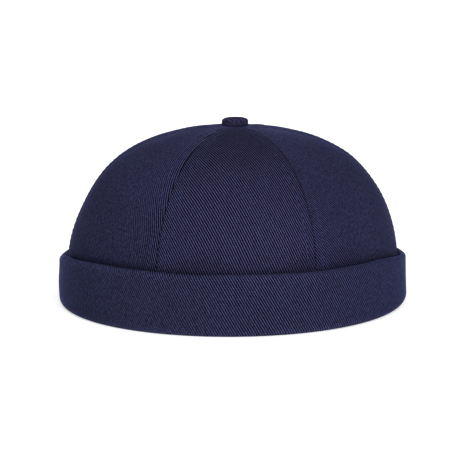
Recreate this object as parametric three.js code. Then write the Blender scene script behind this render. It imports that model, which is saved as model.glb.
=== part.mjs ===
// A docker cap: a brimless skull cap of six sewn panels, with a turned-up cuff and a covered button.
// Millimetres. +Z is up and the front of the cap faces -Y. The cap rests on its folded lower edge at z = 0.

import * as THREE from 'three';

// Plan of the cap. Rings are ellipses that are longer front to back than side to side.
const depthRatio = 1.09;

const crown = {
  hemHeight: 12.3,
  topHeight: 95.5,
  halfWidth: 91.1,
  fullness: 2.38,
  cloth: 1.2,
  seamGap: 0.3,
  seamDip: 0.7,
  seamDipReach: 3.5,
  seamFade: 25,
  billow: 0.7,
  lean: 1.8,
  holeRadius: 2.0,
};

// Seams are named by their angle round the cap from the front, in degrees towards +X.
const frontSeam = 26.5;
const sideSeam = 90;
const backSeam = 180 - frontSeam;

const panels = [
  { name: 'panel_front', from: -frontSeam, to: frontSeam },
  { name: 'panel_front_right', from: frontSeam, to: sideSeam },
  { name: 'panel_back_right', from: sideSeam, to: backSeam },
  { name: 'panel_back', from: backSeam, to: 360 - backSeam },
  { name: 'panel_back_left', from: 360 - backSeam, to: 360 - sideSeam },
  { name: 'panel_front_left', from: -sideSeam, to: -frontSeam },
];

// The cuff is doubled cloth. Its half-widths are measured at the sides of the cap.
const cuff = {
  frontHeight: 30.4,
  sideHeight: 24.2,
  dropStart: 48,
  dropEnd: 97,
  cloth: 3.0,
  outerHalfWidth: 96.0,
  topLean: 0.7,
  footCorner: 3.0,
  footFlat: 2.0,
  foldCloth: 3.0,
  legHalfWidth: 91.2,
  legCloth: 1.5,
  legTop: 12.0,
};

const button = {
  radius: 7.25,
  sideHeight: 2.6,
  domeHeight: 1.9,
  edgeRound: 0.7,
  socketRadius: 1.9,
  socketDepth: 2.4,
};

const post = {
  shankRadius: 1.6,
  flangeRadius: 5.0,
  flangeThickness: 1.0,
};

// Gap between pieces that touch on the real cap.
const fitGap = 0.3;

// How finely the surfaces are divided.
const divisions = { panelAcross: 8, panelUp: 13, cuffAround: 72, arc: 4, buttonAround: 24, postAround: 16 };

const navyTwill = { color: 0x2d2c46, roughness: 0.92, metalness: 0 };
const brass = { color: 0x8a7440, roughness: 0.4, metalness: 1 };

const radians = THREE.MathUtils.degToRad;

// ---- Geometry helpers ----

// Adds the two triangles of a four-cornered face whose corners run anticlockwise seen from outside.
function addQuad(indices, a, b, c, d) {
  indices.push(a, b, c, a, c, d);
}

function closedGeometry(points, indices) {
  const geometry = new THREE.BufferGeometry();
  geometry.setAttribute('position', new THREE.Float32BufferAttribute(points.flatMap((p) => p.toArray()), 3));
  geometry.setIndex(indices);
  geometry.computeVertexNormals();
  return geometry;
}

// A cloth wall between an outer and an inner grid of points. grid[row][column]: rows go up, and
// columns go anticlockwise seen from above.
function shellGeometry(outer, inner) {
  const rows = outer.length;
  const columns = outer[0].length;
  const points = [...outer.flat(), ...inner.flat()];
  const indices = [];
  const out = (row, column) => row * columns + column;
  const into = (row, column) => rows * columns + out(row, column);
  for (let row = 0; row < rows - 1; row++) {
    for (let column = 0; column < columns - 1; column++) {
      addQuad(indices, out(row, column), out(row, column + 1), out(row + 1, column + 1), out(row + 1, column));
      addQuad(indices, into(row, column), into(row + 1, column), into(row + 1, column + 1), into(row, column + 1));
    }
  }
  for (let column = 0; column < columns - 1; column++) {
    const top = rows - 1;
    addQuad(indices, into(0, column), into(0, column + 1), out(0, column + 1), out(0, column));
    addQuad(indices, out(top, column), out(top, column + 1), into(top, column + 1), into(top, column));
  }
  for (let row = 0; row < rows - 1; row++) {
    const last = columns - 1;
    addQuad(indices, into(row, 0), out(row, 0), out(row + 1, 0), into(row + 1, 0));
    addQuad(indices, out(row, last), into(row, last), into(row + 1, last), out(row + 1, last));
  }
  return closedGeometry(points, indices);
}

// A ring whose closed section changes on the way round. sections[step][corner]: steps go
// anticlockwise seen from above, and corners go anticlockwise with the outside of the ring on the right.
function ringGeometry(sections) {
  const steps = sections.length;
  const corners = sections[0].length;
  const indices = [];
  const at = (step, corner) => (step % steps) * corners + (corner % corners);
  for (let step = 0; step < steps; step++) {
    for (let corner = 0; corner < corners; corner++) {
      addQuad(indices, at(step, corner), at(step + 1, corner), at(step + 1, corner + 1), at(step, corner + 1));
    }
  }
  return closedGeometry(sections.flat(), indices);
}

// Points of an arc of a circle in (distance out, height), angles in degrees from straight out.
function arc(centreOut, centreHeight, radius, from, to) {
  return Array.from({ length: divisions.arc + 1 }, (_, i) => {
    const angle = radians(THREE.MathUtils.lerp(from, to, i / divisions.arc));
    return new THREE.Vector2(centreOut + radius * Math.cos(angle), centreHeight + radius * Math.sin(angle));
  });
}

function named(name, geometry, finish) {
  const mesh = new THREE.Mesh(geometry, new THREE.MeshStandardMaterial(finish));
  mesh.name = name;
  return mesh;
}

// ---- Crown ----

// The crown's half-width at a climb, which is 0 at the hem and a quarter turn at the top.
function crownHalfWidth(climb) {
  return crown.halfWidth * Math.cos(climb) ** (2 / crown.fullness);
}

// A point of the smooth crown.
function crownPoint(angle, climb) {
  const halfWidth = crownHalfWidth(climb);
  const rise = Math.sin(climb) ** (2 / crown.fullness);
  return new THREE.Vector3(
    halfWidth * Math.sin(angle) + crown.lean * rise ** 2,
    -halfWidth * depthRatio * Math.cos(angle),
    crown.hemHeight + (crown.topHeight - crown.hemHeight) * rise,
  );
}

function crownNormal(angle, climb) {
  const step = 1e-4;
  const along = crownPoint(angle + step, climb).sub(crownPoint(angle - step, climb));
  const lower = Math.max(climb - step, 0);
  const up = crownPoint(angle, climb + step).sub(crownPoint(angle, lower));
  return along.cross(up).normalize();
}

// The climb at which the crown has narrowed to the hole for the button's rivet.
function climbOfHole() {
  return Math.acos((crown.holeRadius / crown.halfWidth) ** (crown.fullness / 2));
}

// One panel: the crown between two seams, a little fuller in its middle and sunk beside its seams.
function panelGeometry(from, to) {
  const start = radians(from);
  const end = radians(to);
  const outer = [];
  const inner = [];
  for (let row = 0; row <= divisions.panelUp; row++) {
    const climb = climbOfHole() * Math.sin((Math.PI / 2) * (row / divisions.panelUp));
    const width = (end - start) * crownHalfWidth(climb);
    const trim = crown.seamGap / 2 / width;
    const fade = Math.min(crownHalfWidth(climb) / crown.seamFade, 1);
    const outerRow = [];
    const innerRow = [];
    for (let column = 0; column <= divisions.panelAcross; column++) {
      const spread = (1 - Math.cos((Math.PI * column) / divisions.panelAcross)) / 2;
      const share = THREE.MathUtils.lerp(trim, 1 - trim, spread);
      const angle = THREE.MathUtils.lerp(start, end, share);
      const fromSeam = Math.min(share, 1 - share) * width;
      const dip = crown.seamDip * Math.exp(-((fromSeam / crown.seamDipReach) ** 2)) * fade;
      const lift = crown.billow * Math.sin(Math.PI * share) * Math.sin(2 * climb);
      const normal = crownNormal(angle, climb);
      const surface = crownPoint(angle, climb).addScaledVector(normal, lift - dip);
      outerRow.push(surface);
      innerRow.push(surface.clone().addScaledVector(normal, -crown.cloth));
    }
    outer.push(outerRow);
    inner.push(innerRow);
  }
  return shellGeometry(outer, inner);
}

// ---- Cuff ----

// The cuff is tallest across the front and lower from the sides to the back.
function cuffHeight(angle) {
  const fromFront = Math.abs(THREE.MathUtils.euclideanModulo(angle + 180, 360) - 180);
  const drop = THREE.MathUtils.smoothstep(fromFront, cuff.dropStart, cuff.dropEnd);
  return THREE.MathUtils.lerp(cuff.frontHeight, cuff.sideHeight, drop);
}

// The cuff's section: flat foot, outer wall, rounded top edge, inside face, the fold's valley, and the
// inner leg whose top meets the crown's hem.
function cuffSection(height) {
  const outer = cuff.outerHalfWidth;
  const footOuter = outer - cuff.footCorner;
  const footInner = footOuter - cuff.footFlat;
  const edge = cuff.cloth / 2;
  const topMiddle = outer - cuff.topLean - edge;
  const wallInside = outer - cuff.cloth - cuff.topLean / 2;
  const legInside = cuff.legHalfWidth - cuff.legCloth;
  const valley = (wallInside - cuff.legHalfWidth) / 2;
  const valleyHeight = cuff.foldCloth + valley;
  const footInnerCorner = footInner - legInside;
  return [
    ...arc(footOuter, cuff.footCorner, cuff.footCorner, -90, 0),
    new THREE.Vector2(outer - cuff.topLean / 4, height / 2),
    ...arc(topMiddle, height - edge, edge, 0, 180),
    ...arc(cuff.legHalfWidth + valley, valleyHeight, valley, 0, -180),
    new THREE.Vector2(cuff.legHalfWidth, cuff.legTop),
    new THREE.Vector2(legInside, cuff.legTop),
    ...arc(footInner, footInnerCorner, footInnerCorner, 180, 270),
  ];
}

function cuffGeometry() {
  const sections = [];
  const base = cuff.outerHalfWidth;
  for (let step = 0; step < divisions.cuffAround; step++) {
    const degrees = (360 * step) / divisions.cuffAround;
    const angle = radians(degrees);
    const onRing = new THREE.Vector3(base * Math.sin(angle), -base * depthRatio * Math.cos(angle), 0);
    const outward = new THREE.Vector3(depthRatio * Math.sin(angle), -Math.cos(angle), 0).normalize();
    sections.push(cuffSection(cuffHeight(degrees)).map((corner) => {
      const point = onRing.clone().addScaledVector(outward, corner.x - base);
      point.z = corner.y;
      return point;
    }));
  }
  return ringGeometry(sections);
}

// ---- Button and its rivet ----

function onCrownTop(mesh, height) {
  mesh.position.set(crown.lean, 0, height);
  return mesh;
}

// A flat-sided dome of stuffed cloth with a blind socket below. The lathe profile turns about +Y.
function buttonGeometry() {
  const { radius, sideHeight, domeHeight, edgeRound } = button;
  const profile = [
    new THREE.Vector2(0, button.socketDepth),
    new THREE.Vector2(button.socketRadius, button.socketDepth),
    new THREE.Vector2(button.socketRadius, 0),
    new THREE.Vector2(radius - edgeRound, 0),
    new THREE.Vector2(radius, edgeRound),
  ];
  const domeSteps = 2 * divisions.arc;
  for (let step = 0; step < domeSteps; step++) {
    const turn = (Math.PI / 2) * (step / domeSteps);
    profile.push(new THREE.Vector2(radius * Math.cos(turn), sideHeight + domeHeight * Math.sin(turn)));
  }
  profile.push(new THREE.Vector2(0, sideHeight + domeHeight));
  return new THREE.LatheGeometry(profile, divisions.buttonAround).rotateX(Math.PI / 2);
}

// A plain rivet: a flange under the crown and a shank up into the button's socket.
function postGeometry() {
  const shankTop = crown.cloth + fitGap + button.socketDepth;
  const profile = [
    new THREE.Vector2(0, -post.flangeThickness),
    new THREE.Vector2(post.flangeRadius, -post.flangeThickness),
    new THREE.Vector2(post.flangeRadius, 0),
    new THREE.Vector2(post.shankRadius, 0),
    new THREE.Vector2(post.shankRadius, shankTop),
    new THREE.Vector2(0, shankTop),
  ];
  return new THREE.LatheGeometry(profile, divisions.postAround).rotateX(Math.PI / 2);
}

// ---- The cap ----

const cap = new THREE.Group();
for (const { name, from, to } of panels) {
  cap.add(named(name, panelGeometry(from, to), navyTwill));
}
cap.add(named('cuff', cuffGeometry(), navyTwill));
cap.add(onCrownTop(named('button', buttonGeometry(), navyTwill), crown.topHeight + fitGap));
cap.add(onCrownTop(named('button_post', postGeometry(), brass), crown.topHeight - crown.cloth - fitGap));

export default cap;
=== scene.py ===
import math
from collections import namedtuple

import bpy
import numpy as np
from mathutils import Matrix, Vector, noise


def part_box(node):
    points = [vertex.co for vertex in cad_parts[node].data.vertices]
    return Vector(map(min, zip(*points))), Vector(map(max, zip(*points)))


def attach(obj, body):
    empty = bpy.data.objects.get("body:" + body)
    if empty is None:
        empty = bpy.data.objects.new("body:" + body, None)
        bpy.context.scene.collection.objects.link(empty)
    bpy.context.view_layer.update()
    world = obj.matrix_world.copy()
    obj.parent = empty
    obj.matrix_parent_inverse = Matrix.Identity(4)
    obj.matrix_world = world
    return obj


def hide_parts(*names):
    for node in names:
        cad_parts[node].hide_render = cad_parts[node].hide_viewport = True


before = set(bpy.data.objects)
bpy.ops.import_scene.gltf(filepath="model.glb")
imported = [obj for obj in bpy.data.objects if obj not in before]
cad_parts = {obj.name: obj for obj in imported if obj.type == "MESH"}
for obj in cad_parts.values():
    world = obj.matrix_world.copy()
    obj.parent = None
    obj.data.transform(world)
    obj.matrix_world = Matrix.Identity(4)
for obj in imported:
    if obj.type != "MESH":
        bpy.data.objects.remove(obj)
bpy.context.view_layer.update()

# A navy docker cap: six twill panels, a turned-up cuff and a covered button, on a pale floor.
# Lengths are metres. The front of the cap faces -Y. Angles round the cap start at the front and grow
# towards +X, which is anticlockwise seen from above. Left and right are as seen from the front.

MM = 0.001
UP = np.array([0, 0, 1.0])

# The boxes of the CAD's pieces, and the sizes that follow from them. CROWN_FULLNESS is the exponent of
# the crown's superellipse: 2 is an ellipse, and more is squarer. The rivet goes through a hole at its
# top.
CUFF_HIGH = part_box("cuff")[1]
FRONT_LOW, FRONT_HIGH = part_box("panel_front")
BUTTON_LOW, BUTTON_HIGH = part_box("button")
POST_LOW, POST_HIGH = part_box("button_post")

CUFF_HALF_WIDTH = CUFF_HIGH.x
DEPTH_RATIO = CUFF_HIGH.y / CUFF_HIGH.x
CROWN_HALF_WIDTH = -FRONT_LOW.y / DEPTH_RATIO
HEM_HEIGHT = FRONT_LOW.z
CROWN_TOP = FRONT_HIGH.z
CROWN_LEAN = (BUTTON_LOW.x + BUTTON_HIGH.x) / 2
CROWN_FULLNESS = 2.38
HOLE_RADIUS = 2.0 * MM
CLOTH = 1.0 * MM

# The crown has not settled evenly. The left side stands out near the top and sits in half way up, the
# right side stands out above the middle, and the top slopes down a little to the right.
LEFT_SWELL, LEFT_SINK = 0.42 * MM, 1.1 * MM
RIGHT_SWELL = 0.5 * MM
TOP_SLOPE = 0.28 * MM

# The panels: their seams in degrees, how crisply the twill lines show in the middle, and low down and
# high up beside the seam with the front or back panel, how much blue sheen is painted on the navy, and
# the painted light and shade at each of SHADE_RISES. A rise is a share of the way from the hem to the
# top.
Panel = namedtuple("Panel", "name start end crisp seam_crisp cool shades")
FRONT_SEAM = 26.5
BACK_SEAM = 180 - FRONT_SEAM
SHADE_RISES = (0.3, 0.55, 0.78, 0.97)
SEAM_CRISP_RISES = (0.35, 0.65)
PANELS = (
    Panel("front", -FRONT_SEAM, FRONT_SEAM, 1.18, (1.18, 1.18), 0.0, (0.945, 0.98, 0.885, 0.64)),
    Panel("front_right", FRONT_SEAM, 90, 0.26, (1.5, 1.05), 0.7, (0.88, 0.895, 0.985, 1.02)),
    Panel("back_right", 90, BACK_SEAM, 0.45, (0.78, 0.78), 0.75, (0.88, 0.93, 0.98, 1.0)),
    Panel("back", BACK_SEAM, 360 - BACK_SEAM, 0.8, (0.8, 0.8), 0.4, (0.95, 0.97, 0.97, 0.95)),
    Panel("back_left", 360 - BACK_SEAM, 270, 0.45, (0.78, 0.78), 0.75, (0.86, 0.92, 1.0, 1.0)),
    Panel("front_left", -90, -FRONT_SEAM, 0.22, (0.95, 1.05), 0.7, (0.81, 0.875, 1.07, 1.08)),
)

# A panel's rows of vertices, from hem to top, its columns between the crowded ones beside its seams,
# and how far from one panel to the next the pattern is laid on the cloth.
PANEL_ROWS, PANEL_MIDDLE_COLUMNS = 230, 25
CUT_APART = 0.137

# Distances from a seam, in millimetres, of the crowded columns beside it.
SEAM_COLUMNS = (
    (0, 0.15, 0.3, 0.5, 0.75, 1.1, 1.8, 2.8, 3.8)
    + (4.2, 4.65, 5.1, 5.5, 6.0, 6.5, 7.0, 7.5, 8.4)
)

# Near the button the cloth is painted lighter in streaks, as where it catches the light: degrees round
# the cap, and how much.
STREAKS = (
    ((-180, 0.2), (-153, 0.4), (-120, 0.7), (-88, 0.5), (-72, 0.15), (-60, 0.0), (-50, 0.0), (-40, 0.2))
    + ((-33, 0.3), (-27, 0.55), (-21, 0.6), (-13, 0.0), (20, 0.0), (27, 0.25), (38, 0.3), (53, 0.85))
    + ((70, 0.4), (88, 0.65), (120, 0.7), (153, 0.4), (180, 0.2))
)

# Just above the cuff the front of the crown has painted shade, as if dented: degrees round the cap,
# width in degrees, and how much.
PAINTED_DENT_SHADES = ((22, 6, 1.0), (-11, 6, 0.8), (40, 6, 0.6))
DENT_SHADE_HEIGHT, DENT_SHADE_REACH = 4.0 * MM, 4.4 * MM

# Seams: the cloth dives into each seam, is padded by the seam allowance below it, and is pulled down
# along the topstitching.
SEAM_GAP = 0.06 * MM
SEAM_BEND = 0.35 * MM
DITCH_DEPTH, DITCH_REACH = 0.34 * MM, 0.42 * MM
ALLOWANCE, ALLOWANCE_RISE, ALLOWANCE_CLOTH = 7.0 * MM, 0.3 * MM, 0.6 * MM
STITCH_OFFSET, STITCH_LENGTH, STITCH_DENT = 4.65 * MM, 3.2 * MM, 0.14 * MM
THREAD_RADIUS = 0.17 * MM

# How far the cloth gives elsewhere: billows of a panel, soft waves, puckers beside the seams, and
# gathers that run out from the button.
BILLOW, WAVES, PUCKER, GATHERS = 0.7 * MM, 0.22 * MM, 0.12 * MM, 0.35 * MM

# The cuff: its number of sections, its height at the sides, the degrees off the front between which
# it drops to that, and its lifts and dips, as degrees round the cap, width in degrees, and height.
CUFF_STEPS = 540
CUFF_SIDE_HEIGHT = 24.2 * MM
CUFF_DROP = (48, 97)
CUFF_LIFTS = ((-74, 8, 1.3 * MM), (-45, 20, 0.22 * MM), (24, 11, -0.35 * MM), (-11, 7, -0.15 * MM))

# The cuff's section at the side of the cap: the thickness of its doubled cloth, the width of its foot,
# and the leg inside the crown, as its half-width, its thickness and its height. Whatever stands out
# past CUFF_INSIDE is turned up.
CUFF_CLOTH, CUFF_FOOT = 3.0 * MM, 5.1 * MM
LEG, LEG_CLOTH, LEG_TOP = 91.2 * MM, 1.5 * MM, 12.0 * MM
CUFF_INSIDE = 92.2 * MM

# How much the cuff gives: its wall in and out, its top edge up and down, its bulge on the left, and
# the groove of its join at the back.
SWAY, EDGE_WAVE, BULGE, JOIN = 0.45 * MM, 0.35 * MM, 0.5 * MM, 0.7 * MM

# Twill: steep diagonal ridges that fall from left to right on the right side of the cloth. They have
# a distance from one to the next, an angle in degrees, a number of yarns and a mean height.
TWILL_PITCH = 1.18 * MM
TWILL_ANGLE = 63.0
TWILL_REPEAT = 3
TWILL_MEAN_HEIGHT = 0.36

# How fine the cloth's unevenness is, as scales of noise: the long and short waves in which its yarns
# wander, its slubs, its fibres, and broad patches of shade.
LONG_WAVES, SHORT_WAVES, SLUBS, FIBRES, PATCHES = 55.0, 330.0, 700.0, 1700.0, 24.0

# The twill's colours: its grooves, painted near black as shaded, the two colours of its yarn, its yarn
# where blue sheen is painted, and its yarn where it is worn and where it is painted as lit.
GROOVE = (0.0016, 0.0012, 0.0055)
WARM_YARN = (0.063, 0.0533, 0.1295)
BLUE_YARN = (0.0505, 0.0518, 0.1315)
PAINTED_SHEEN_YARN = (0.0435, 0.0515, 0.145)
WORN_AND_LIT_YARN = (0.105, 0.112, 0.265)

# The studio: the sky's strength at the horizon and overhead, and each lamp's name, place, side and
# power in watts.
FLOOR_REACH = 60.0
SKY_STRENGTH = (0.45, 0.72)
SOFT_BOXES = (
    ("front_box", (0.35, -1.55, 0.65), 1.2, 16.7),
    ("left_box", (-0.6, -0.7, 1.4), 0.8, 1.2),
    ("back_box", (0.0, 1.5, 0.2), 0.4, 2.5),
)

# The camera: its azimuth, elevation and roll in degrees, how far to the right of the axis and how high
# it aims, its distance from there, and its focal length in millimetres.
CAMERA_TURNS = (-1.2, 8.77, 0.4)
CAMERA_AIM = (-1.35 * MM, 37.5 * MM)
CAMERA_DISTANCE = 0.86
CAMERA_LENS = 121.4


# ---- Number helpers ----


def smooth(low, high, value):
    """0 below low, 1 above high, and a smooth step between. With low above high it falls instead."""
    share = np.clip((value - low) / (high - low), 0, 1)
    return share * share * (3 - 2 * share)


def bump(value, centre, width):
    """1 where value is at the centre, and falling to 0 on both sides over about twice the width."""
    return np.exp(-(((value - centre) / width) ** 2))


def bumps(value, table):
    """The sum of the bumps in a table of centre, width and amount."""
    return sum(amount * bump(value, centre, width) for centre, width, amount in table)


def from_front(degrees):
    """An angle round the cap, from -180 to 180."""
    return (degrees + 180) % 360 - 180


def soft_noise(points, scale, seed):
    """Smooth noise from -1 to 1 at each point, with features about scale metres wide."""
    flat = points.reshape(-1, 3) / scale
    shift = Vector((seed * 17.3, seed * 5.1, seed * 9.7))
    values = [noise.noise(Vector(p) + shift) for p in flat]
    return np.array(values).reshape(points.shape[:-1])


# ---- Mesh helpers ----


def new_object(name, vertices, faces, material):
    mesh = bpy.data.meshes.new(name)
    mesh.from_pydata(vertices.tolist(), [], faces)
    mesh.polygons.foreach_set("use_smooth", [True] * len(mesh.polygons))
    mesh.materials.append(material)
    obj = bpy.data.objects.new(name, mesh)
    bpy.context.scene.collection.objects.link(obj)
    return obj


def new_piece(name, vertices, faces, material):
    """A new object that is part of the cap, parented to the cap's root body."""
    obj = new_object(name, vertices, faces, material)
    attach(obj, "root")
    return obj


def add_uv(obj, uv, laps=None):
    """Gives each corner its vertex's place in the cloth, in metres.

    laps holds the cloth's length both ways, for a piece of four-sided faces whose ends meet."""
    layer = obj.data.uv_layers.new(name="cloth")
    corners = np.empty(len(obj.data.loops), np.int32)
    obj.data.loops.foreach_get("vertex_index", corners)
    places = uv[corners]
    if laps:
        by_face = places.reshape(-1, 4, 2)
        behind = by_face < by_face.max(axis=1, keepdims=True) - np.array(laps) / 2
        places = (by_face + behind * np.array(laps)).reshape(-1, 2)
    layer.data.foreach_set("uv", places.astype(np.float32).ravel())


def add_value(obj, name, values):
    """A number for each vertex, which a material reads by name."""
    attribute = obj.data.attributes.new(name, "FLOAT", "POINT")
    attribute.data.foreach_set("value", np.asarray(values, np.float32).ravel())


def grid_faces(rows, columns, start=0, flip=False, wrap_rows=False, wrap_columns=False):
    """Four-sided faces over a grid of vertices numbered row by row."""
    row = np.arange(rows if wrap_rows else rows - 1)[:, None]
    column = np.arange(columns if wrap_columns else columns - 1)[None, :]
    next_row, next_column = (row + 1) % rows, (column + 1) % columns
    a = row * columns + column
    b = row * columns + next_column
    c = next_row * columns + next_column
    d = next_row * columns + column
    corners = [x.ravel() for x in np.broadcast_arrays(a, b, c, d)]
    faces = np.stack(corners[::-1] if flip else corners, axis=1)
    return (faces + start).tolist()


def strip_faces(one, other):
    """Faces between two equal rows of vertex numbers."""
    return np.stack([one[:-1], one[1:], other[1:], other[:-1]], axis=1).tolist()


def path_lengths(points):
    """How far along a path each of its points lies."""
    return np.concatenate([[0], np.cumsum(np.linalg.norm(np.diff(points, axis=0), axis=1))])


# ---- Crown ----


def crown_half_width(climb):
    return CROWN_HALF_WIDTH * np.cos(climb) ** (2 / CROWN_FULLNESS)


def crown_rise(climb):
    return np.sin(climb) ** (2 / CROWN_FULLNESS)


def crown_point(angle, climb):
    """The smooth crown. climb is 0 at the hem and a quarter turn at the top."""
    half_width = crown_half_width(climb)
    rise = crown_rise(climb)
    left = np.maximum(-np.sin(angle), 0) ** 2
    right = np.maximum(np.sin(angle), 0) ** 2
    swell = LEFT_SWELL * left * smooth(0.55, 0.8, rise) * smooth(28 * MM, 60 * MM, half_width)
    swell = swell + RIGHT_SWELL * right * bump(rise, 0.78, 0.09)
    swell = swell - LEFT_SINK * left * bump(rise, 0.5, 0.2)
    out = (half_width / CROWN_HALF_WIDTH) ** (CROWN_FULLNESS - 1)
    up = rise ** (CROWN_FULLNESS - 1)
    steepness = np.hypot(out, up)
    out_swell, up_swell = swell * out / steepness, swell * up / steepness
    round_top = smooth(0, 12 * MM, half_width) * smooth(40 * MM, 20 * MM, half_width)
    x = (half_width + out_swell) * np.sin(angle) + CROWN_LEAN * rise**2
    y = -(half_width + out_swell) * DEPTH_RATIO * np.cos(angle)
    z = HEM_HEIGHT + (CROWN_TOP - HEM_HEIGHT) * rise + up_swell - TOP_SLOPE * np.sin(angle) * round_top
    return np.stack(np.broadcast_arrays(x, y, z), axis=-1)


def crown_normal(angle, climb):
    step = 1e-4
    along = crown_point(angle + step, climb) - crown_point(angle - step, climb)
    up = crown_point(angle, climb + step) - crown_point(angle, np.maximum(climb - step, 0))
    normal = np.cross(along, up)
    return normal / np.linalg.norm(normal, axis=-1, keepdims=True)


TOP_CLIMB = math.acos((HOLE_RADIUS / CROWN_HALF_WIDTH) ** (CROWN_FULLNESS / 2))


def even_climbs(count):
    """Climbs from hem to top, spaced evenly along the cloth on the front of the crown."""
    fine = TOP_CLIMB * np.sin(np.linspace(0, math.pi / 2, 2000))
    length = path_lengths(crown_point(np.zeros_like(fine), fine))
    return np.interp(np.linspace(0, length[-1], count), length, fine)


def seam_columns(width):
    """Distances from a panel's left seam, crowded beside both seams."""
    edge = np.array(SEAM_COLUMNS) * MM
    left = edge * min(1.0, 0.3 * width / edge[-1])
    middle = np.linspace(left[-1], width - left[-1], PANEL_MIDDLE_COLUMNS + 2)[1:-1]
    return np.concatenate([left, middle, width - left[::-1]])


def away_from_button(climb):
    """0 at the button and 1 well clear of it, where the seams and the cloth's unevenness are full."""
    return smooth(2 * MM, 24 * MM, crown_half_width(climb))


def round_button(angle, climb):
    """Points for noise that runs out from the button in streaks."""
    return np.stack([np.cos(angle) * 3, np.sin(angle) * 3, crown_half_width(climb) / (30 * MM)], axis=-1)


def panel_relief(place, angle, climb, share, distance, along):
    """How far the cloth stands out from the smooth crown at each place on it.

    share runs from 0 to 1 between the panel's seams, distance is from the nearer seam, and along is
    how far up the panel."""
    billow = BILLOW * np.sin(math.pi * share) * np.sin(2 * climb)
    pad = ALLOWANCE_RISE * (1 - smooth(ALLOWANCE - 1.2 * MM, ALLOWANCE + 0.4 * MM, distance))
    ditch = DITCH_DEPTH * bump(distance, 0, DITCH_REACH)
    beat = 1 + 0.45 * np.cos(2 * math.pi * along / STITCH_LENGTH)
    dent = STITCH_DENT * beat * bump(distance, STITCH_OFFSET, 0.6 * MM)
    fade = away_from_button(climb)
    waves = WAVES * soft_noise(place, 34 * MM, 1) * fade
    pucker = PUCKER * soft_noise(place, 7 * MM, 2) * np.exp(-distance / (5 * MM)) * fade
    half_width = crown_half_width(climb)
    near_button = smooth(62 * MM, 30 * MM, half_width) * smooth(6 * MM, 20 * MM, half_width)
    gathers = GATHERS * soft_noise(round_button(angle, climb), 1.0, 11) * near_button
    return (billow + pad - ditch - dent) * (0.35 + 0.65 * fade) + waves + pucker + gathers


def cloth_thickness(distance, climb):
    """The cloth and, beside a seam, the allowance pressed flat behind it."""
    flap = 1 - smooth(ALLOWANCE - 0.8 * MM, ALLOWANCE - 0.2 * MM, distance)
    return CLOTH + ALLOWANCE_CLOTH * flap * away_from_button(climb)


def unroll(surface, middle):
    """Where each point of a grid lies in the flat cloth, and how far up the middle column each row is.

    Each row is unrolled as part of a cone."""
    steps = np.linalg.norm(np.diff(surface, axis=1), axis=2)
    across = np.concatenate([np.zeros((len(surface), 1)), np.cumsum(steps, axis=1)], axis=1)
    across -= across[:, middle : middle + 1]
    up = path_lengths(surface[:, middle])
    turn = -np.gradient(across, up, axis=0)
    u = across * np.sinc(turn / math.pi)
    v = up[:, None] + across * np.sin(turn / 2) * np.sinc(turn / (2 * math.pi))
    return np.stack([u, v], axis=-1), up


def seam_angle(degrees, climb):
    """A seam's angle at each climb. The right front seam was sewn with a slight bow at the hem."""
    bow = 1.0 if degrees == FRONT_SEAM else 0.0
    return np.radians(degrees - bow * smooth(0.45, 0.1, crown_rise(climb)))


def wall_faces(rows, columns):
    """Faces of a closed cloth wall, whose two seam edges each bend half way through the cloth.

    Its vertices are the outside grid, the inside grid, and then both bends of each row."""
    count = rows * columns
    outside = np.arange(count).reshape(rows, columns)
    inside = outside + count
    bend = 2 * count + np.arange(2 * rows).reshape(rows, 2)
    faces = grid_faces(rows, columns) + grid_faces(rows, columns, start=count, flip=True)
    faces += strip_faces(outside[0][::-1], inside[0][::-1]) + strip_faces(outside[-1], inside[-1])
    faces += strip_faces(outside[:, 0], bend[:, 0]) + strip_faces(bend[:, 0], inside[:, 0])
    faces += strip_faces(bend[:, 1], outside[:, -1]) + strip_faces(inside[:, -1], bend[:, 1])
    for row, column, turn in ((0, 0, 1), (0, -1, -1), (-1, 0, -1), (-1, -1, 1)):
        faces.append([outside[row, column], bend[row, column], inside[row, column]][::turn])
    return faces


def over_wall(values):
    """A value for each vertex of a cloth wall, from the values over its outside grid."""
    parts = (values, values, values[:, [0, -1]])
    return np.concatenate([part.reshape(-1, *values.shape[2:]) for part in parts])


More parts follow.
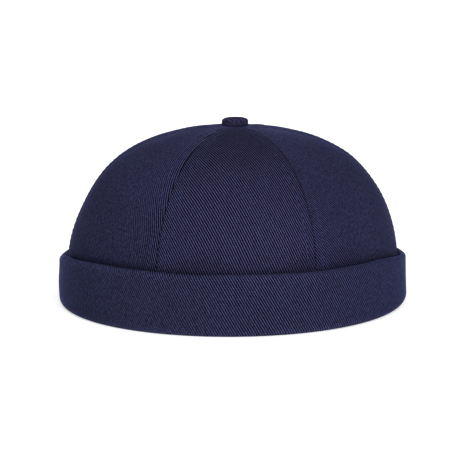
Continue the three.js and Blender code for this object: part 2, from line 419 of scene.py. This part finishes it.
def finish_panel(obj, panel, height, angle, climb, share, widths):
    """Gives a panel its uneven crispness, painted light and shade, painted streaks of light and painted
    blue sheen, which its material reads.
    """
    degrees = np.degrees(angle)
    rise = (height - HEM_HEIGHT) / (CROWN_TOP - HEM_HEIGHT)
    above_cuff = height - cuff_height(degrees)
    from_seam = np.minimum(share, 1 - share) * widths
    # 0 at the seam with the front or back panel and 1 at the side seam.
    starts_at_side = abs(math.sin(math.radians(panel.start))) >= abs(math.sin(math.radians(panel.end)))
    to_side = 1 - share if starts_at_side else share
    is_side = 0.0 if panel.name in ("front", "back") else 1.0
    # Painted shade just above the cuff, as if the crown were dented there.
    painted_dent_shade = bumps(degrees, PAINTED_DENT_SHADES) * bump(above_cuff, DENT_SHADE_HEIGHT, DENT_SHADE_REACH)

    # The lines are clearer beside the seams with the front and back panels, on the upper part of those
    # two panels, more so towards their end seams, and where the cloth is taut above the cuff on the
    # right.
    beside = bump(to_side * widths, 0, 14 * MM)
    beside = beside * (np.interp(rise, SEAM_CRISP_RISES, panel.seam_crisp) - panel.crisp)
    upper = (1 - is_side) * 0.3 * smooth(0.25, 0.5, rise)
    upper = upper + (1 - is_side) * 0.2 * smooth(0.4, 0.85, share) * smooth(0.5, 0.75, rise)
    taut = 0.8 * bump(degrees, 39, 4.5) * bump(above_cuff, 4.0 * MM, 6.0 * MM)
    add_value(obj, "crisp", over_wall(panel.crisp + beside + upper + taut))

    # Painted light and shade: by height as the panel's shades give, the cloth is painted lighter beside
    # those seams and in a patch high on the front, left of the middle. It is painted darker high up
    # beside the side seams and in the painted dents, and in the seams and behind the cuff, where shade
    # falls.
    shade = np.interp(rise, SHADE_RISES, panel.shades) * (1 + 0.05 * beside)
    shade = shade * (1 - 0.3 * is_side * smooth(0.45, 0.9, to_side) * bump(rise, 0.68, 0.15))
    shade = shade * (1 - 0.25 * painted_dent_shade) * (1 + 0.08 * bump(degrees, -12, 11) * bump(rise, 0.72, 0.14))
    # Painted shadow on the crown just above the cuff's top edge, where the cuff shades it.
    painted_cuff_shadow = smooth(3.7 * MM, -1.0 * MM, above_cuff) * (0.92 - 0.3 * bump(degrees, -3, 15))
    # Painted shade in the seams.
    painted_seam_shade = bump(from_seam, 0, 0.5 * MM)
    add_value(obj, "shade", over_wall(shade * (1 - 0.4 * np.maximum(painted_seam_shade, painted_cuff_shadow))))

    # Painted light: near the button the cloth is painted lighter in streaks.
    streaks = np.interp(from_front(degrees), *zip(*STREAKS))
    streaks = streaks * (1 + 0.4 * soft_noise(round_button(angle, climb) * 1.6, 1.0, 23))
    drawn_in = smooth(54 * MM, 22 * MM, crown_half_width(climb))
    add_value(obj, "wear_and_painted_light", over_wall(np.clip(drawn_in * streaks, 0, 1)))
    # The navy is painted bluer toward the side seams, as painted blue sheen.
    add_value(obj, "cool", over_wall(panel.cool + 1.2 * is_side * (to_side - 0.4)))


def make_panel(panel, material, number):
    """One crown panel as a closed cloth wall with pressed seam allowances inside."""
    climbs = even_climbs(PANEL_ROWS)
    starts, ends = seam_angle(panel.start, climbs), seam_angle(panel.end, climbs)
    widths = ((ends - starts) * crown_half_width(climbs))[:, None]
    columns = np.array([seam_columns(width - SEAM_GAP) for width in widths[:, 0]])
    share = (columns + SEAM_GAP / 2) / widths
    climb = np.broadcast_to(climbs[:, None], share.shape)
    angle = starts[:, None] + (ends - starts)[:, None] * share
    smooth_crown = crown_point(angle, climb)
    normal = crown_normal(angle, climb)
    cloth, up = unroll(smooth_crown, share.shape[1] // 2)

    distance = np.minimum(share, 1 - share) * widths
    relief = panel_relief(smooth_crown, angle, climb, share, distance, up[:, None])
    outer = smooth_crown + normal * relief[..., None]
    inner = outer - normal * cloth_thickness(distance, climb)[..., None]

    # Both edges of a seam bend the same way half through the cloth, so no light shows through it.
    edges = [0, -1]
    sideways = crown_point(angle[:, edges] + 1e-4, climb[:, edges]) - smooth_crown[:, edges]
    sideways /= np.linalg.norm(sideways, axis=-1, keepdims=True)
    bends = (outer[:, edges] + inner[:, edges]) / 2 + SEAM_BEND * sideways

    vertices = np.concatenate([part.reshape(-1, 3) for part in (outer, inner, bends)])
    obj = new_piece(f"{panel.name}_panel", vertices, wall_faces(*share.shape), material)
    # Each panel is cut from another part of the cloth.
    add_uv(obj, over_wall(cloth + number * CUT_APART))
    finish_panel(obj, panel, outer[..., 2], angle, climb, share, widths)
    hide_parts(f"panel_{panel.name}")
    return obj


# ---- Cuff ----


def cuff_height(degrees):
    """The cuff is tallest across the front and lower from the sides to the back."""
    off_front = np.abs(from_front(degrees))
    side_height = CUFF_SIDE_HEIGHT + 0.4 * MM * smooth(30, 90, off_front) * smooth(170, 120, off_front)
    front_height = CUFF_HIGH.z + 0.5 * MM
    height = front_height + (side_height - front_height) * smooth(*CUFF_DROP, off_front)
    return height + bumps(from_front(degrees), CUFF_LIFTS)


def arc(centre_out, centre_up, radius, start, end, count):
    turn = np.radians(np.linspace(start, end, count))
    return np.stack([centre_out + radius * np.cos(turn), centre_up + radius * np.sin(turn)], axis=1)


def line(start, end, count):
    """Points between two ends, without the ends."""
    share = np.linspace(0, 1, count + 2)[1:-1, None]
    return np.array(start) + (np.array(end) - np.array(start)) * share


def cuff_section(height, full, corner, filled):
    """The doubled cloth's outline in (half-width, height), anticlockwise from the foot.

    full runs from 0 for a flat fold along the top to 1 for a full, rounded one. filled runs from 0 for
    an open gap between the fold and the crown to 1 for a fold that lies against the crown."""
    outer = CUFF_HALF_WIDTH
    foot_inner = outer - CUFF_FOOT
    foot_outer = outer - corner
    fold_outside = (1.9 + 0.2 * full) * MM
    fold_inside = (1.1 - 0.1 * full) * MM
    top_lean = (0.7 - 0.4 * full) * MM
    crest = outer - top_lean - fold_outside
    inner_crest = crest - 1.05 * MM * filled
    wall_inside = outer - CUFF_CLOTH - top_lean / 2
    valley = (wall_inside - LEG) / 2
    leg_inside = LEG - LEG_CLOTH
    heel_radius = foot_inner - leg_inside
    foot = arc(foot_outer, corner, corner, -90, 0, 12)
    top_outside = arc(crest, height - fold_outside, fold_outside, 0, 90, 12)
    top_inside = arc(inner_crest, height - fold_inside, fold_inside, 90, 180, 8)[1:]
    bend = arc(LEG + valley, CUFF_CLOTH + valley, valley, 0, -180, 9)
    heel = arc(foot_inner, heel_radius, heel_radius, 180, 270, 8)
    leg_outer_top = np.array([[LEG, LEG_TOP]])
    leg_inner_top = np.array([[leg_inside, LEG_TOP]])
    return np.concatenate([
        foot,
        line(foot[-1], top_outside[0], 26),
        top_outside,
        top_inside,
        line(top_inside[-1], bend[0], 12),
        bend,
        line(bend[-1], leg_outer_top[0], 5),
        leg_outer_top,
        line(leg_outer_top[0], leg_inner_top[0], 1),
        leg_inner_top,
        line(leg_inner_top[0], heel[0], 7),
        heel,
        line(heel[-1], foot[0], 2),
    ])


def finish_cuff(obj, degrees, height, from_join, turned_up):
    """Gives the cuff its uneven wear, painted light and shade, crispness and painted blue sheen, which
    its material reads.

    height, over the cuff's sections, is from before its edge rises and dips."""
    off_front = np.abs(degrees)
    tall = cuff_height(degrees)[:, None]
    # The cloth is worn and painted lighter along its top edge, most on the left, where its lip is painted
    # as lit from above, and a little along its foot, painted as lit from the floor.
    top_edge = smooth(4.0 * MM, 0.6 * MM, tall - height)
    foot = smooth(4.5 * MM, 0.8 * MM, height)
    edge_wear_and_light = 0.42 - 0.2 * smooth(-35, -10, degrees) - 0.2 * smooth(12, 35, degrees)
    add_value(obj, "wear_and_painted_light", (edge_wear_and_light[:, None] * top_edge + 0.4 * foot) * turned_up)

    # Painted shade: darker on the front left and in the join's groove at the back, and painted lighter at
    # the far left.
    shade = 1.01 - 0.12 * bump(degrees, -55, 25) + 0.12 * smooth(-72, -86, degrees)
    painted_join_shade = bump(from_join, 0, 1.1 * MM) * turned_up
    add_value(obj, "shade", (1 - 0.4 * painted_join_shade) * shade[:, None])

    # The twill lines show most across the front and back, and near the top edge.
    at_back = smooth(105, 150, off_front)
    crisp = 0.36 + 0.61 * bump(degrees, 12, 36) + 0.4 * at_back
    near_top = smooth(0.45, 0.9, height / tall)
    near_foot = smooth(0.4, 0.1, height / tall) * bump(degrees, 0, 30)[:, None]
    add_value(obj, "crisp", crisp[:, None] * (1.03 + 0.32 * near_top - 0.12 * near_foot))

    # The navy is painted bluer toward the sides and less at the back, as painted blue sheen.
    cool = 1.5 * smooth(25, 75, off_front) + 0.4 * smooth(20, 60, degrees)
    add_value(obj, "cool", np.broadcast_to((cool * (1 - 0.7 * at_back))[:, None], height.shape))


def make_cuff(material):
    """The cuff as one ring of sections, whose strip of cloth starts and ends at the back."""
    degrees = -180 + np.arange(CUFF_STEPS) * 360 / CUFF_STEPS
    angle = np.radians(degrees)
    base = CUFF_HALF_WIDTH
    ring = np.stack([base * np.sin(angle), -base * DEPTH_RATIO * np.cos(angle), 0 * angle], axis=1)
    outward = np.stack([DEPTH_RATIO * np.sin(angle), -np.cos(angle), 0 * angle], axis=1)
    outward /= np.linalg.norm(outward, axis=1, keepdims=True)
    # On the left side the fold is fuller, lies against the crown and bulges below. The foot is rounder
    # at the sides.
    full = bump(degrees, -94, 32)
    filled = smooth(-67, -77, degrees) * smooth(-145, -120, degrees)
    corner = (2.4 + 1.0 * full + 2.0 * bump(degrees, 90, 40)) * MM
    settings = zip(cuff_height(degrees), full, corner, filled)
    sections = np.array([cuff_section(*setting) for setting in settings])
    out, height = sections[..., 0] - base, sections[..., 1]

    # The outer wall gives a little in and out, most at its free top edge, and its edge rises and dips.
    turned_up = out > (CUFF_INSIDE - base)
    spots = ring[:, None] + height[..., None] * UP
    sway = SWAY * soft_noise(spots, 38 * MM, 3) * smooth(4 * MM, 24 * MM, height) * turned_up
    bulge = BULGE * full[:, None] * turned_up * bump(height, 11 * MM, 7 * MM)
    edge_wave = EDGE_WAVE * soft_noise(ring, 26 * MM, 5)[:, None] * smooth(20 * MM, 30 * MM, height)
    # The two ends of the cuff's strip are sewn together at the back.
    from_join = (np.radians(180 - np.abs(degrees)) * base)[:, None]
    join = JOIN * bump(from_join, 0, 0.9 * MM) * turned_up * smooth(1 * MM, 4 * MM, height)
    out = out + sway + bulge - join

    points = ring[:, None] + outward[:, None] * out[..., None] + (height + edge_wave)[..., None] * UP
    rows, columns = points.shape[:2]
    faces = grid_faces(rows, columns, flip=True, wrap_rows=True, wrap_columns=True)
    obj = new_piece("turned_up_cuff", points.reshape(-1, 3), faces, material)
    around = np.linalg.norm(ring - np.roll(ring, 1, axis=0), axis=1)
    along = np.cumsum(around) - around[0]
    front = sections[CUFF_STEPS // 2]
    lengths = np.linalg.norm(front - np.roll(front, 1, axis=0), axis=1)
    climb = np.cumsum(lengths) - lengths[0]
    uv = np.stack(np.broadcast_arrays(along[:, None], climb[None, :]), axis=-1)
    add_uv(obj, uv.reshape(-1, 2), laps=(around.sum(), lengths.sum()))
    finish_cuff(obj, degrees, height, from_join, turned_up)
    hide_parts("cuff")
    return obj


# ---- Button and rivet ----


def turned(profile, centre, segments):
    """Vertices and faces of a solid turned about the vertical through centre, and each vertex's turn.

    The profile starts and ends on the axis."""
    turn = np.linspace(0, 2 * math.pi, segments, endpoint=False)
    radius, height = profile[1:-1, 0], profile[1:-1, 1]
    x = centre[0] + np.cos(turn)[:, None] * radius
    y = centre[1] + np.sin(turn)[:, None] * radius
    z = np.broadcast_to(centre[2] + height, x.shape)
    body = np.stack([x, y, z], axis=-1).reshape(-1, 3)
    ends = np.array([[centre[0], centre[1], centre[2] + profile[i, 1]] for i in (0, -1)])
    columns = len(radius)
    ring = np.arange(segments) * columns
    after = np.roll(ring, -1)
    first, last = np.full(segments, len(body)), np.full(segments, len(body) + 1)
    side = grid_faces(segments, columns, wrap_rows=True, flip=True)
    low = np.stack([first, after, ring], axis=1).tolist()
    high = np.stack([last, ring + columns - 1, after + columns - 1], axis=1).tolist()
    return np.concatenate([body, ends]), side + low + high, np.concatenate([turn.repeat(columns), [0, 0]])


def make_button(material):
    """The covered button: a squarish dome over a socket, with its cloth gathered in below."""
    radius = (BUTTON_HIGH.x - BUTTON_LOW.x) / 2
    tall = BUTTON_HIGH.z - BUTTON_LOW.z
    side = 0.5 * tall
    squareness = 2 / 2.5
    socket_radius, socket_depth = 1.9 * MM, 2.4 * MM
    edge_radius, edge_height = 0.4 * MM, 0.22 * MM
    pleats, pleat_depth = 26, 0.07 * MM

    turn = np.linspace(0, math.pi / 2, 22)
    dome_out = radius * np.cos(turn) ** squareness
    dome_up = side + (tall - side) * np.sin(turn) ** squareness
    dome = np.stack([dome_out, dome_up], axis=1)
    under = arc(radius - edge_radius, edge_height, edge_radius, -90, 0, 7)
    socket = [[0, socket_depth], [socket_radius, socket_depth], [socket_radius, 0.05 * MM]]
    profile = np.concatenate([socket, under, line(under[-1], dome[0], 4), dome])
    centre = (CROWN_LEAN, 0.0, BUTTON_LOW.z)
    vertices, faces, turn = turned(profile, centre, 120)

    spread = np.hypot(vertices[:, 0] - centre[0], vertices[:, 1] - centre[1])
    low = smooth(2.2 * MM, 0.4 * MM, vertices[:, 2] - centre[2]) * (spread > 3 * MM)
    push = pleat_depth * np.cos(pleats * turn) * low
    for axis in (0, 1):
        unit = (vertices[:, axis] - centre[axis]) / np.maximum(spread, 1e-6)
        vertices[:, axis] += unit * push
    obj = new_piece("covered_button", vertices, faces, material)

    height = vertices[:, 2] - centre[2]
    stretch = 1 + np.maximum(side - height, 0) / np.maximum(spread, 1 * MM)
    add_uv(obj, (vertices[:, :2] - np.array(centre[:2])) * stretch[:, None])
    # The cloth is lighter round the rim of the dome.
    rim = bump(spread, radius, 1.2 * MM) * smooth(0.2 * MM, 2.5 * MM, height)
    add_value(obj, "wear_and_painted_light", 0.2 * rim)
    # Painted shade low on the button, where it meets the crown.
    add_value(obj, "shade", 1 - 0.12 * smooth(1.0 * MM, 0.0, height))
    add_value(obj, "crisp", np.full(len(vertices), 0.45))
    add_value(obj, "cool", np.full(len(vertices), 0.5))
    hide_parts("button")
    return obj


def make_rivet(material):
    """The hidden rivet: a flange below the crown and a shank up into the button."""
    flange = (POST_HIGH.x - POST_LOW.x) / 2
    shank, thick, bevel, fillet = 1.6 * MM, 1.0 * MM, 0.35 * MM, 0.1 * MM
    tall = POST_HIGH.z - POST_LOW.z
    profile = np.concatenate([
        [[0, 0], [flange * 0.55, 0]],
        arc(flange - bevel, bevel, bevel, -90, 0, 6),
        arc(flange - bevel, thick - bevel, bevel, 0, 90, 6),
        [[shank + fillet, thick], [shank, thick + fillet], [shank, tall - bevel]],
        [[shank - bevel, tall], [0, tall]],
    ])
    vertices, faces, _ = turned(profile, (CROWN_LEAN, 0.0, POST_LOW.z), 64)
    obj = new_piece("rivet", vertices, faces, material)
    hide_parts("button_post")
    return obj


# ---- Topstitching ----


def stitch_shape():
    """One stitch along +X, arched over the cloth with its ends sunk, for a length of 1."""
    rings, sides = 9, 8
    turn = np.linspace(0, 2 * math.pi, sides, endpoint=False)
    shape = []
    for x in np.linspace(-0.5, 0.5, rings):
        taper = math.sqrt(max(1 - (abs(x) / 0.5) ** 4, 0.02))
        lift = 0.2 - 2.2 * abs(x) ** 2
        ring = [np.full(sides, x), taper * np.cos(turn), lift + taper * np.sin(turn)]
        shape.append(np.stack(ring, axis=1))
    faces = grid_faces(rings, sides, wrap_columns=True)
    faces.append(list(range(sides))[::-1])
    faces.append(list(range((rings - 1) * sides, rings * sides)))
    return np.concatenate(shape), faces


def seam_row(panel, from_start):
    """One row of topstitching of a panel, from hem to button.

    Gives points on the smooth crown, normals, how far out the cloth is, its thickness and the length."""
    climbs = even_climbs(count=900)
    starts, ends = seam_angle(panel.start, climbs), seam_angle(panel.end, climbs)
    width = (ends - starts) * crown_half_width(climbs)
    share = STITCH_OFFSET / width if from_start else 1 - STITCH_OFFSET / width
    angle = starts + (ends - starts) * share
    # The rows end near the button, where the panel is hardly wider than the two of them.
    keep = width > 2 * STITCH_OFFSET + 1.2 * MM
    climbs, share, angle = climbs[keep], share[keep], angle[keep]
    along = path_lengths(crown_point((starts + ends)[keep] / 2, climbs))
    points = crown_point(angle, climbs)
    distance = np.full_like(climbs, STITCH_OFFSET)
    relief = panel_relief(points, angle, climbs, share, distance, along)
    return points, crown_normal(angle, climbs), relief, cloth_thickness(distance, climbs), along


def make_stitches(material):
    """The topstitching rows beside every seam, outside and, as the lower thread, inside."""
    shape, shape_faces = stitch_shape()
    local = shape * np.array([0.62 * STITCH_LENGTH, THREAD_RADIUS, THREAD_RADIUS])
    vertices, faces = [], []
    for panel in PANELS:
        for from_start in (True, False):
            points, normals, relief, thickness, along = seam_row(panel, from_start)
            for number in range(int(along[-1] / STITCH_LENGTH)):
                middle = (number + 0.5) * STITCH_LENGTH
                at = np.array([np.interp(middle, along, points[:, i]) for i in range(3)])
                ahead = np.array([np.interp(middle + 0.5 * MM, along, points[:, i]) for i in range(3)])
                normal = np.array([np.interp(middle, along, normals[:, i]) for i in range(3)])
                lift = np.interp(middle, along, relief)
                through = np.interp(middle, along, thickness)
                forward = ahead - at
                forward -= normal * forward.dot(normal)
                forward /= np.linalg.norm(forward)
                side = np.cross(normal, forward)
                for out, depth in ((1, lift), (-1, lift - through)):
                    faces += [[i + len(vertices) * len(shape) for i in face] for face in shape_faces]
                    axes = np.stack([forward * out, side, normal * out])
                    vertices.append(at + normal * depth + local @ axes)
    return new_piece("topstitching", np.concatenate(vertices), faces, material)


# ---- Materials ----


class Nodes:
    """Short ways to make and join shader nodes in one material."""

    def __init__(self, name):
        self.material = bpy.data.materials.new(name)
        self.material.use_nodes = True
        self.tree = self.material.node_tree
        self.shader = self.tree.nodes["Principled BSDF"]

    def node(self, kind, **settings):
        made = self.tree.nodes.new(kind)
        for key, value in settings.items():
            setattr(made, key, value)
        return made

    def put(self, socket, value):
        """Links value to the socket if it is an output, and else sets it."""
        if isinstance(value, bpy.types.NodeSocket):
            self.tree.links.new(value, socket)
        else:
            socket.default_value = value

    def math(self, operation, *values):
        made = self.node("ShaderNodeMath", operation=operation)
        for socket, value in zip(made.inputs, values):
            self.put(socket, value)
        return made.outputs[0]

    def spread(self, value, low, high, new_low=0.0, new_high=1.0):
        made = self.node("ShaderNodeMapRange", interpolation_type="SMOOTHSTEP")
        for socket, given in zip(made.inputs, (value, low, high, new_low, new_high)):
            self.put(socket, given)
        return made.outputs[0]

    def mix(self, share, one, other):
        made = self.node("ShaderNodeMix", data_type="RGBA")
        self.put(made.inputs["Factor"], share)
        self.put(made.inputs["A"], one)
        self.put(made.inputs["B"], other)
        return made.outputs["Result"]

    def noise(self, vector, scale, detail=2.0):
        made = self.node("ShaderNodeTexNoise")
        self.put(made.inputs["Vector"], vector)
        self.put(made.inputs["Scale"], scale)
        self.put(made.inputs["Detail"], detail)
        return made.outputs[0]

    def attribute(self, name):
        return self.node("ShaderNodeAttribute", attribute_name=name).outputs["Fac"]

    def raised(self, height, strength, distance):
        """The surface's normal, as if it stood out by up to distance where height is 1."""
        made = self.node("ShaderNodeBump")
        self.put(made.inputs["Strength"], strength)
        self.put(made.inputs["Distance"], distance)
        self.put(made.inputs["Height"], height)
        return made.outputs[0]

    def finish(self, settings):
        """Puts values by name in the material's shader, and gives the material."""
        for name, value in settings.items():
            self.put(self.shader.inputs[name], value)
        return self.material


def colour_of(*rgb, tone=(1.0, 1.0, 1.0)):
    """A solid colour from its red, green and blue, tinted by tone."""
    return (*(part * tint for part, tint in zip(rgb, tone)), 1)


def weave(n, cloth, angle, pitch):
    """The twill's height, 0 in the grooves and 1 on the ridges, and a chance value per float of yarn."""
    split = n.node("ShaderNodeSeparateXYZ")
    n.put(split.inputs[0], cloth)
    # Yarn spacings that give the twill its pitch and angle.
    warp_spacing = pitch / (TWILL_REPEAT * math.sin(math.radians(angle)))
    weft_spacing = warp_spacing * math.tan(math.radians(angle))
    # The warp yarns wander a little, in long waves and in short ones.
    drift = n.math("MULTIPLY_ADD", n.noise(cloth, LONG_WAVES), 0.5, -0.25)
    drift = n.math("MULTIPLY_ADD", n.noise(cloth, SHORT_WAVES, 1.0), 0.7, drift)
    warp = n.math("ADD", n.math("DIVIDE", split.outputs[0], warp_spacing), drift)
    weft = n.math("DIVIDE", split.outputs[1], weft_spacing)
    yarn = n.math("FLOOR", warp)
    across = n.math("SUBTRACT", n.math("FRACT", warp), 0.5)
    # A ridge runs on evenly, and also in steps from one warp yarn to the next.
    even = n.math("DIVIDE", n.math("ADD", weft, warp), TWILL_REPEAT)
    stepped = n.math("DIVIDE", n.math("ADD", weft, n.math("ADD", yarn, 0.5)), TWILL_REPEAT)
    phase = n.math("ADD", n.math("MULTIPLY", even, 0.6), n.math("MULTIPLY", stepped, 0.4))
    wave = n.math("COSINE", n.math("MULTIPLY", phase, 2 * math.pi))
    roundness = n.math("MULTIPLY_ADD", n.math("MULTIPLY", across, across), -1.6, 1.0)
    height = n.math("MULTIPLY", n.spread(wave, -0.35, 0.8), roundness)

    float_id = n.node("ShaderNodeCombineXYZ")
    n.put(float_id.inputs[0], yarn)
    n.put(float_id.inputs[1], n.math("ROUND", stepped))
    chance = n.node("ShaderNodeTexWhiteNoise", noise_dimensions="2D")
    n.put(chance.inputs["Vector"], float_id.outputs[0])
    return height, chance.outputs["Value"]


def twill(name, angle=TWILL_ANGLE, pitch=TWILL_PITCH, tone=(1.0, 1.0, 1.0), fuzz=0.11):
    """Navy cotton twill: warp floats that step down to the right in steep ridges, with grooves painted
    dark as shaded.
    """
    n = Nodes(name)
    cloth = n.node("ShaderNodeUVMap", uv_map="cloth").outputs[0]
    place = n.node("ShaderNodeTexCoord").outputs["Object"]
    crisp = n.attribute("crisp")
    height, chance = weave(n, cloth, angle, pitch)
    # Where the lines are crisp the weave is deep. Where they are crispest, the ridges are narrower and
    # lighter too.
    narrow = n.math("MAXIMUM", n.math("MULTIPLY_ADD", crisp, 0.9, -1.08), 0.0)
    height = n.math("MULTIPLY", n.math("SUBTRACT", height, TWILL_MEAN_HEIGHT), crisp)
    height = n.math("SUBTRACT", n.math("ADD", height, TWILL_MEAN_HEIGHT), narrow)
    height = n.math("MAXIMUM", height, 0.0)

    # Each float of yarn is bluer or more purple than the next, cloth with painted sheen is bluer, and
    # worn cloth and cloth painted as lit are paler.
    fibre = n.noise(cloth, FIBRES, 3.0)
    slub = n.noise(cloth, SLUBS, 3.0)
    wear_and_painted_light = n.math("MULTIPLY", n.attribute("wear_and_painted_light"), n.spread(slub, 0.3, 0.75, 0.4, 1.0))
    painted_sheen_share = n.math("MULTIPLY", n.attribute("cool"), 0.5)
    yarn = n.mix(chance, colour_of(*WARM_YARN, tone=tone), colour_of(*BLUE_YARN, tone=tone))
    yarn = n.mix(painted_sheen_share, yarn, colour_of(*PAINTED_SHEEN_YARN, tone=tone))
    yarn = n.mix(wear_and_painted_light, yarn, colour_of(*WORN_AND_LIT_YARN))
    # The grooves are painted near black, as shade.
    colour = n.mix(height, colour_of(*GROOVE), yarn)

    # The cloth is lighter or darker by slub and fibre, by broad patches, by float, by painted light and
    # shade at its place on the cap, and where its ridges are narrow.
    uneven = n.math("MULTIPLY_ADD", crisp, -1.6, 2.8)
    light = n.math("MULTIPLY_ADD", n.math("SUBTRACT", slub, 0.5), uneven, n.math("ADD", fibre, 0.5))
    patches = n.spread(n.noise(place, PATCHES), 0.25, 0.75, 0.93, 1.05)
    by_float = n.math("MULTIPLY_ADD", chance, 0.4, 0.8)
    for share in (patches, by_float, n.attribute("shade"), n.math("ADD", narrow, 1.0)):
        light = n.math("MULTIPLY", light, share)
    lit = n.node("ShaderNodeVectorMath", operation="SCALE")
    n.put(lit.inputs[0], colour)
    n.put(lit.inputs["Scale"], light)
    return n.finish({
        "Base Color": lit.outputs[0],
        "Normal": n.raised(n.math("ADD", height, n.math("MULTIPLY", fibre, 0.35)), 0.6, 0.16 * MM),
        "Roughness": n.spread(height, 0.0, 1.0, 0.98, 0.82),
        "Specular IOR Level": 0.04,
        "Sheen Weight": fuzz,
        "Sheen Roughness": 0.2,
        "Sheen Tint": colour_of(0.31, 0.34, 1.0),
    })


def thread():
    """Polyester thread, a little bluer than the cloth, with the lay of its twist."""
    n = Nodes("navy_thread")
    lay = n.node("ShaderNodeTexWave", bands_direction="DIAGONAL")
    n.put(lay.inputs["Vector"], n.node("ShaderNodeTexCoord").outputs["Object"])
    n.put(lay.inputs["Scale"], 900.0)
    n.put(lay.inputs["Distortion"], 1.5)
    height = lay.outputs[1]
    return n.finish({
        "Base Color": n.mix(height, colour_of(0.010, 0.020, 0.075), colour_of(0.020, 0.038, 0.135)),
        "Normal": n.raised(height, 0.5, 0.06 * MM),
        "Roughness": 0.7,
        "Specular IOR Level": 0.15,
    })


def brass():
    """Dull brass with darker, rougher patches."""
    n = Nodes("dull_brass")
    patches = n.noise(n.node("ShaderNodeTexCoord").outputs["Object"], 420.0, 4.0)
    dark = n.spread(patches, 0.35, 0.7)
    return n.finish({
        "Base Color": n.mix(dark, colour_of(0.42, 0.31, 0.12), colour_of(0.22, 0.15, 0.06)),
        "Metallic": 1.0,
        "Roughness": n.spread(patches, 0.2, 0.8, 0.32, 0.55),
    })


def light_table():
    """A matt white floor that is lit from below as well, as under a product photograph."""
    return Nodes("light_table").finish({
        "Base Color": colour_of(0.88, 0.88, 0.88),
        "Roughness": 1.0,
        "Specular IOR Level": 0.0,
        "Emission Color": colour_of(1.0, 1.0, 1.0),
        "Emission Strength": 0.5,
    })


# ---- Studio ----


def make_floor():
    """A wide pale floor."""
    corners = FLOOR_REACH * np.array([[-1, -1, 0], [1, -1, 0], [1, 1, 0], [-1, 1, 0]])
    new_object("floor", corners, [[0, 1, 2, 3]], light_table())


def soft_box(name, place, size, power):
    """A square lamp that faces the middle of the cap."""
    light = bpy.data.lights.new(name, "AREA")
    light.shape = "SQUARE"
    light.size = size
    light.energy = power
    obj = bpy.data.objects.new(name, light)
    obj.location = place
    middle = Vector((0, 0, 50 * MM))
    obj.rotation_euler = (middle - Vector(place)).to_track_quat("-Z", "Y").to_euler()
    bpy.context.scene.collection.objects.link(obj)


def make_lights():
    """A bright studio, brightest overhead, with soft boxes in front, at the left and low behind."""
    world = bpy.data.worlds.new("studio")
    world.use_nodes = True
    tree = world.node_tree
    split = tree.nodes.new("ShaderNodeSeparateXYZ")
    tree.links.new(tree.nodes.new("ShaderNodeTexCoord").outputs["Generated"], split.inputs[0])
    gradient = tree.nodes.new("ShaderNodeMapRange")
    tree.links.new(split.outputs[2], gradient.inputs["Value"])
    gradient.inputs["To Min"].default_value = SKY_STRENGTH[0]
    gradient.inputs["To Max"].default_value = SKY_STRENGTH[1]
    background = tree.nodes["Background"]
    background.inputs["Color"].default_value = colour_of(1.0, 1.0, 1.0)
    tree.links.new(gradient.outputs[0], background.inputs["Strength"])
    bpy.context.scene.world = world
    for row in SOFT_BOXES:
        soft_box(*row)


def make_camera():
    """The photograph's camera: in front, a little to the left and above, and hardly tilted."""
    azimuth, elevation, roll = (math.radians(turn) for turn in CAMERA_TURNS)
    right = Vector((math.cos(azimuth), math.sin(azimuth), 0))
    level = Vector((math.sin(azimuth), -math.cos(azimuth), 0))
    back = level * math.cos(elevation) + Vector((0, 0, math.sin(elevation)))
    up = back.cross(right)
    tilted_right = right * math.cos(roll) - up * math.sin(roll)
    tilted_up = up * math.cos(roll) + right * math.sin(roll)
    aim = right * CAMERA_AIM[0] + Vector((0, 0, CAMERA_AIM[1]))
    camera = bpy.data.cameras.new("camera")
    camera.lens = CAMERA_LENS
    camera.sensor_width = 36.0
    camera.clip_start, camera.clip_end = 0.01, 200.0
    obj = bpy.data.objects.new("camera", camera)
    turn = Matrix((tilted_right, tilted_up, back)).transposed()
    obj.matrix_world = Matrix.Translation(aim + back * CAMERA_DISTANCE) @ turn.to_4x4()
    bpy.context.scene.collection.objects.link(obj)
    bpy.context.scene.camera = obj


def build():
    crown_cloth = twill("crown_twill_cloth")
    cuff_cloth = twill("cuff_twill_cloth", 60.0, tone=(0.87, 0.93, 0.91), fuzz=0.19)
    button_cloth = twill("button_twill_cloth", 40.0, 0.95 * MM, tone=(1.15, 1.05, 0.98))
    for number, panel in enumerate(PANELS):
        make_panel(panel, crown_cloth, number)
    make_cuff(cuff_cloth)
    make_button(button_cloth)
    make_rivet(brass())
    make_stitches(thread())
    make_floor()
    make_lights()
    make_camera()
    bpy.context.scene.view_settings.view_transform = "Standard"


build()
